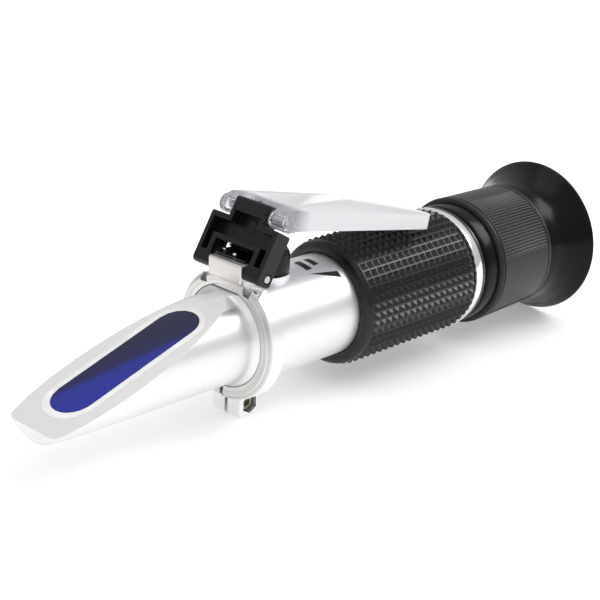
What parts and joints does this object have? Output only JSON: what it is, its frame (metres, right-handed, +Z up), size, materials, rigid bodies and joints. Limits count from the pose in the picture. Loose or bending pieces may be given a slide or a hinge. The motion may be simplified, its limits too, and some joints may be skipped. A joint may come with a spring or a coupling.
{
  "type": "refractometer",
  "caption": "Hand refractometer with a slanted glass prism, a flip-up clear daylight plate, a knurled rubber grip and a focusing eyepiece with a flared eyecup.",
  "frame": {"origin": "centre of the footprint at floor level: under the middle of the instrument's length, on its centre plane, level with the lowest point of the eyecup's rim", "axes": "+X along the optical axis from the prism nose to the eyecup, +Z up towards the hinge of the daylight plate"},
  "size_m": [0.166, 0.04, 0.0498],
  "materials": {
    "nose_aluminium": "bright satin turned aluminium",
    "prism_glass": "polished dark blue glass",
    "prism_cement": "white cement bead",
    "collar_aluminium": "bright machined aluminium",
    "screw_steel": "dark steel",
    "spring_steel": "dark spring steel",
    "bright_steel": "bright steel",
    "tube_aluminium": "bright satin turned aluminium",
    "bimetal": "bimetal strip",
    "blackened_aluminium": "blackened aluminium",
    "lens_glass": "polished optical glass",
    "turned_brass": "turned brass",
    "grip_rubber": "black rubber with a diamond knurl",
    "ring_aluminium": "bright polished aluminium",
    "base_plastic": "glossy black plastic",
    "seal_rubber": "greased black rubber",
    "frame_plastic": "black moulded plastic",
    "plate_acrylic": "clear moulded acrylic",
    "cap_rubber": "black rubber",
    "focus_plastic": "dark grey satin plastic",
    "eyecup_rubber": "smooth black rubber"
  },
  "bodies": {
    "instrument": {"prism_housing": "nose_aluminium", "measuring_prism": "prism_glass", "prism_cement": "prism_cement", "clamp_collar": "collar_aluminium", "clamp_screw": "screw_steel", "detent_spring": "spring_steel", "spring_rivet_front": "bright_steel", "spring_rivet_rear": "bright_steel", "hinge_pin": "bright_steel", "main_tube": "tube_aluminium", "temperature_strip": "bimetal", "objective_cell": "blackened_aluminium", "objective_lens": "lens_glass", "light_baffle": "blackened_aluminium", "reticle_seat": "blackened_aluminium", "reticle": "lens_glass", "reticle_ring": "turned_brass", "rubber_grip": "grip_rubber", "end_ring": "ring_aluminium", "eyepiece_base": "base_plastic", "focus_seal": "seal_rubber", "guide_key": "bright_steel"},
    "hinge_frame": {"hinge_frame": "frame_plastic", "plate_axle": "bright_steel"},
    "daylight_plate": {"daylight_plate": "plate_acrylic"},
    "calibration_screw": {"calibration_screw": "turned_brass"},
    "calibration_cap": {"calibration_cap": "cap_rubber"},
    "lens_carrier": {"lens_carrier": "blackened_aluminium", "field_lens": "lens_glass", "lens_spacer": "blackened_aluminium", "eye_lens": "lens_glass", "lens_retainer": "turned_brass", "carrier_nut": "turned_brass"},
    "focus_ring": {"focus_ring": "focus_plastic", "eyecup": "eyecup_rubber"}
  },
  "joints": [
    {"name": "frame_fold", "type": "hinge", "parent": "instrument", "child": "hinge_frame", "pos_m": [-0.02765, 0, 0.0355], "axis": [0, -1, 0], "range_deg": [0, 140.14]},
    {"name": "plate_fold", "type": "hinge", "parent": "hinge_frame", "child": "daylight_plate", "pos_m": [-0.02108, 0, 0.04672], "axis": [0, -1, 0], "range_deg": [0, 69.95]},
    {"name": "eyepiece_travel", "type": "slide", "parent": "instrument", "child": "lens_carrier", "axis": [1, 0, 0], "range_m": [0, 0.003]},
    {"name": "focus_turn", "type": "hinge", "parent": "lens_carrier", "child": "focus_ring", "pos_m": [0.05975, 0, 0.02], "axis": [1, 0, 0], "range_deg": [0, 180]},
    {"name": "calibration_turn", "type": "hinge", "parent": "instrument", "child": "calibration_screw", "pos_m": [-0.01745, 0, 0.032], "axis": [0, 0, 1], "range_deg": [-180, 180]},
    {"name": "cap_lift", "type": "slide", "parent": "instrument", "child": "calibration_cap", "axis": [0, 0, 1], "range_m": [0, 0.003]}
  ],
  "couplings": [
    {"joint": "focus_turn", "follows": "eyepiece_travel", "rad_per_m": 1047.2}
  ]
}
